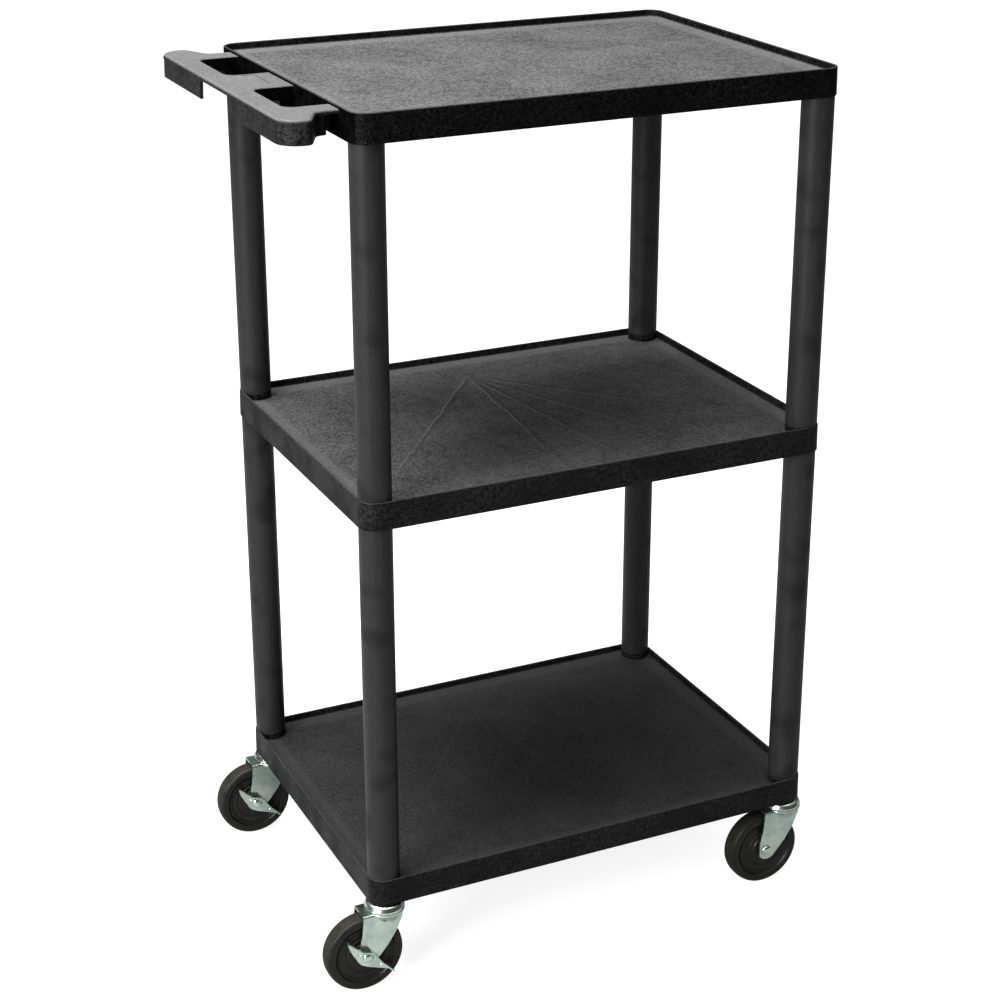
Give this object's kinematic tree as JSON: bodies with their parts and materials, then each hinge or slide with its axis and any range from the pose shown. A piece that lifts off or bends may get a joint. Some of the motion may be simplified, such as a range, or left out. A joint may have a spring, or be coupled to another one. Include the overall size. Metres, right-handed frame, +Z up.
{
  "type": "rolling utility cart",
  "caption": "Rolling utility cart with moulded plastic shelves, round legs, a push handle moulded into the top shelf, and swivel casters with brakes at the handle end.",
  "frame": {"origin": "On the floor, in the middle of the overall footprint from the outer face of the handle to the caster crowns at the other end.", "axes": "+Z up. X runs along the long sides of the shelves, with the push handle at the -X end. The front of the cart faces -Y."},
  "size_m": [0.6912, 0.4566, 1.085],
  "materials": {
    "shelf_plastic": "charcoal structural foam plastic with a fine pebble grain",
    "leg_plastic": "charcoal extruded plastic tube, satin",
    "nylon": "black moulded nylon",
    "zinc": "pressed steel, bright zinc plated, pale blue-green",
    "steel": "plain turned or hardened steel",
    "tyre": "dark grey hard rubber",
    "wheel_core": "dark grey moulded plastic"
  },
  "bodies": {
    "cart": {"bottom_shelf": "shelf_plastic", "middle_shelf": "shelf_plastic", "top_shelf": "shelf_plastic", "leg_lower_front_left": "leg_plastic", "leg_lower_front_right": "leg_plastic", "leg_lower_back_left": "leg_plastic", "leg_lower_back_right": "leg_plastic", "leg_upper_front_left": "leg_plastic", "leg_upper_front_right": "leg_plastic", "leg_upper_back_left": "leg_plastic", "leg_upper_back_right": "leg_plastic", "stem_socket_front_left": "nylon", "stem_front_left": "steel", "raceway_cup_front_left": "zinc", "stem_socket_front_right": "nylon", "stem_front_right": "steel", "raceway_cup_front_right": "zinc", "stem_socket_back_left": "nylon", "stem_back_left": "steel", "raceway_cup_back_left": "zinc", "stem_socket_back_right": "nylon", "stem_back_right": "steel", "raceway_cup_back_right": "zinc"},
    "swivel_front_left": {"fork_front_left": "zinc", "ball_ring_front_left": "steel", "axle_bolt_front_left": "zinc", "axle_nut_front_left": "zinc", "axle_sleeve_front_left": "steel", "brake_disc_front_left": "steel"},
    "wheel_front_left": {"wheel_core_front_left": "wheel_core", "tyre_front_left": "tyre"},
    "brake_front_left": {"brake_lever_front_left": "zinc"},
    "swivel_front_right": {"fork_front_right": "zinc", "ball_ring_front_right": "steel", "axle_bolt_front_right": "zinc", "axle_nut_front_right": "zinc", "axle_sleeve_front_right": "steel"},
    "wheel_front_right": {"wheel_core_front_right": "wheel_core", "tyre_front_right": "tyre"},
    "swivel_back_left": {"fork_back_left": "zinc", "ball_ring_back_left": "steel", "axle_bolt_back_left": "zinc", "axle_nut_back_left": "zinc", "axle_sleeve_back_left": "steel", "brake_disc_back_left": "steel"},
    "wheel_back_left": {"wheel_core_back_left": "wheel_core", "tyre_back_left": "tyre"},
    "brake_back_left": {"brake_lever_back_left": "zinc"},
    "swivel_back_right": {"fork_back_right": "zinc", "ball_ring_back_right": "steel", "axle_bolt_back_right": "zinc", "axle_nut_back_right": "zinc", "axle_sleeve_back_right": "steel"},
    "wheel_back_right": {"wheel_core_back_right": "wheel_core", "tyre_back_right": "tyre"}
  },
  "joints": [
    {"name": "swivel_front_left", "type": "hinge", "parent": "cart", "child": "swivel_front_left", "pos_m": [-0.24615, -0.2035, 0.106], "axis": [0, 0, 1], "continuous": true},
    {"name": "wheel_spin_front_left", "type": "hinge", "parent": "swivel_front_left", "child": "wheel_front_left", "pos_m": [-0.27615, -0.2035, 0.05], "axis": [0, 1, 0], "continuous": true},
    {"name": "brake_rock_front_left", "type": "hinge", "parent": "swivel_front_left", "child": "brake_front_left", "pos_m": [-0.27615, -0.2035, 0.05], "axis": [0, -1, 0], "range_deg": [0, 38]},
    {"name": "swivel_front_right", "type": "hinge", "parent": "cart", "child": "swivel_front_right", "pos_m": [0.32085, -0.2035, 0.106], "axis": [0, 0, 1], "continuous": true},
    {"name": "wheel_spin_front_right", "type": "hinge", "parent": "swivel_front_right", "child": "wheel_front_right", "pos_m": [0.29085, -0.2035, 0.05], "axis": [0, 1, 0], "continuous": true},
    {"name": "swivel_back_left", "type": "hinge", "parent": "cart", "child": "swivel_back_left", "pos_m": [-0.24615, 0.2035, 0.106], "axis": [0, 0, 1], "continuous": true},
    {"name": "wheel_spin_back_left", "type": "hinge", "parent": "swivel_back_left", "child": "wheel_back_left", "pos_m": [-0.27615, 0.2035, 0.05], "axis": [0, 1, 0], "continuous": true},
    {"name": "brake_rock_back_left", "type": "hinge", "parent": "swivel_back_left", "child": "brake_back_left", "pos_m": [-0.27615, 0.2035, 0.05], "axis": [0, -1, 0], "range_deg": [0, 38]},
    {"name": "swivel_back_right", "type": "hinge", "parent": "cart", "child": "swivel_back_right", "pos_m": [0.32085, 0.2035, 0.106], "axis": [0, 0, 1], "continuous": true},
    {"name": "wheel_spin_back_right", "type": "hinge", "parent": "swivel_back_right", "child": "wheel_back_right", "pos_m": [0.29085, 0.2035, 0.05], "axis": [0, 1, 0], "continuous": true}
  ]
}
